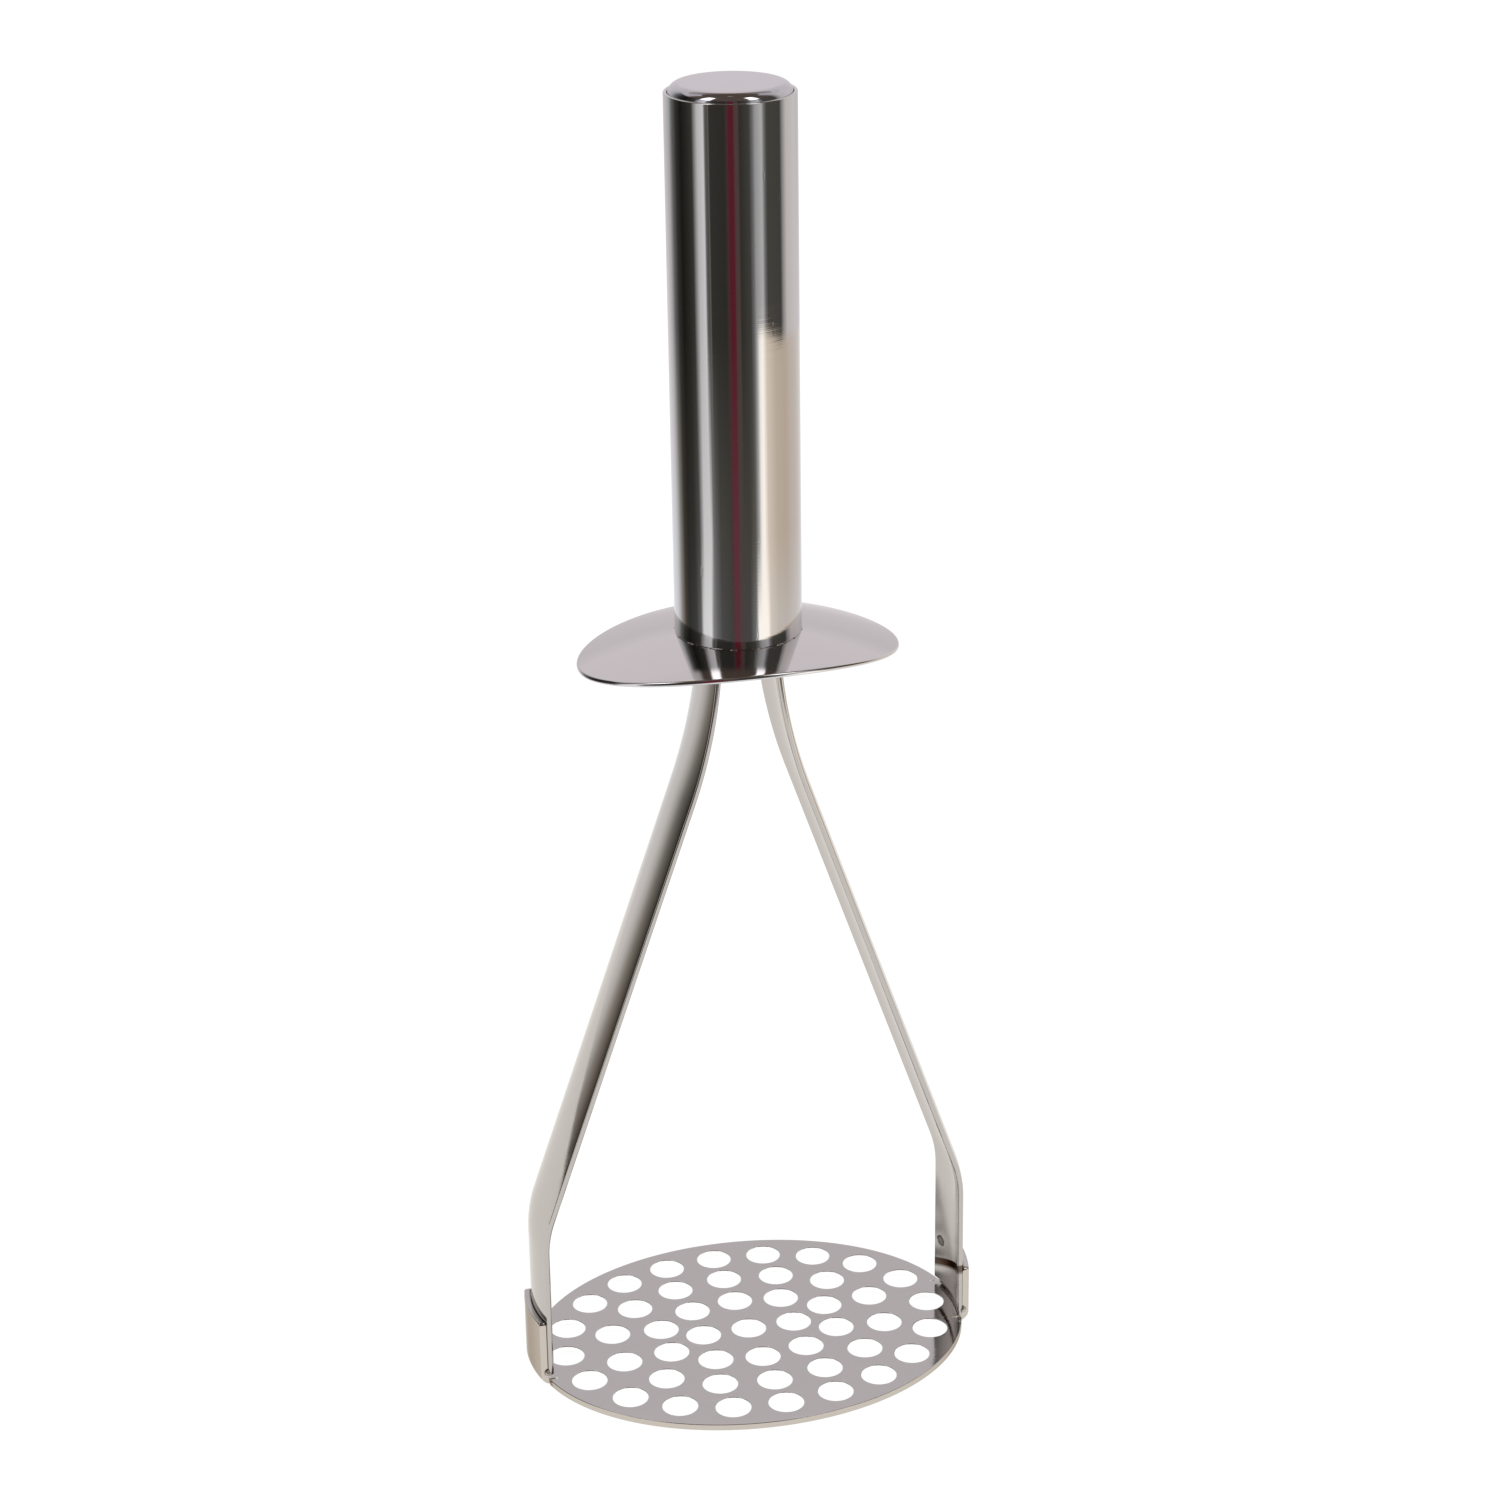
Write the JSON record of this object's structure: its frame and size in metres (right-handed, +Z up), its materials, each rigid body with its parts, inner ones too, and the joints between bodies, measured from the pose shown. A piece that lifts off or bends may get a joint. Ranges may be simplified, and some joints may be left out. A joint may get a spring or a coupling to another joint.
{
  "type": "potato masher",
  "caption": "Hand potato masher: a tubular steel handle with a domed guard, strap legs and an oval punched mashing plate.",
  "frame": {"origin": "centre of the mashing plate's underside, where the masher rests", "axes": "+Z up along the handle's axis, +X from the middle to the right leg, +Y away from the viewer across the plate"},
  "size_m": [0.1066, 0.0814, 0.2994],
  "materials": {
    "tube_steel": "mirror polished tube with fine cross brushing",
    "cap_steel": "mirror polished pressed cap",
    "guard_steel": "mirror polished domed sheet",
    "strap_steel": "polished strap with soft brushing",
    "plate_steel": "polished punched sheet, faintly satin",
    "weld_steel": "raw weld beads, slightly heat tinted"
  },
  "bodies": {
    "root": {"handle_tube": "tube_steel", "top_cap": "cap_steel", "guard_plate": "guard_steel", "tube_weld": "weld_steel", "left_leg": "strap_steel", "right_leg": "strap_steel", "leg_welds": "weld_steel", "mashing_plate": "plate_steel", "left_foot_weld": "weld_steel", "right_foot_weld": "weld_steel"}
  },
  "joints": []
}
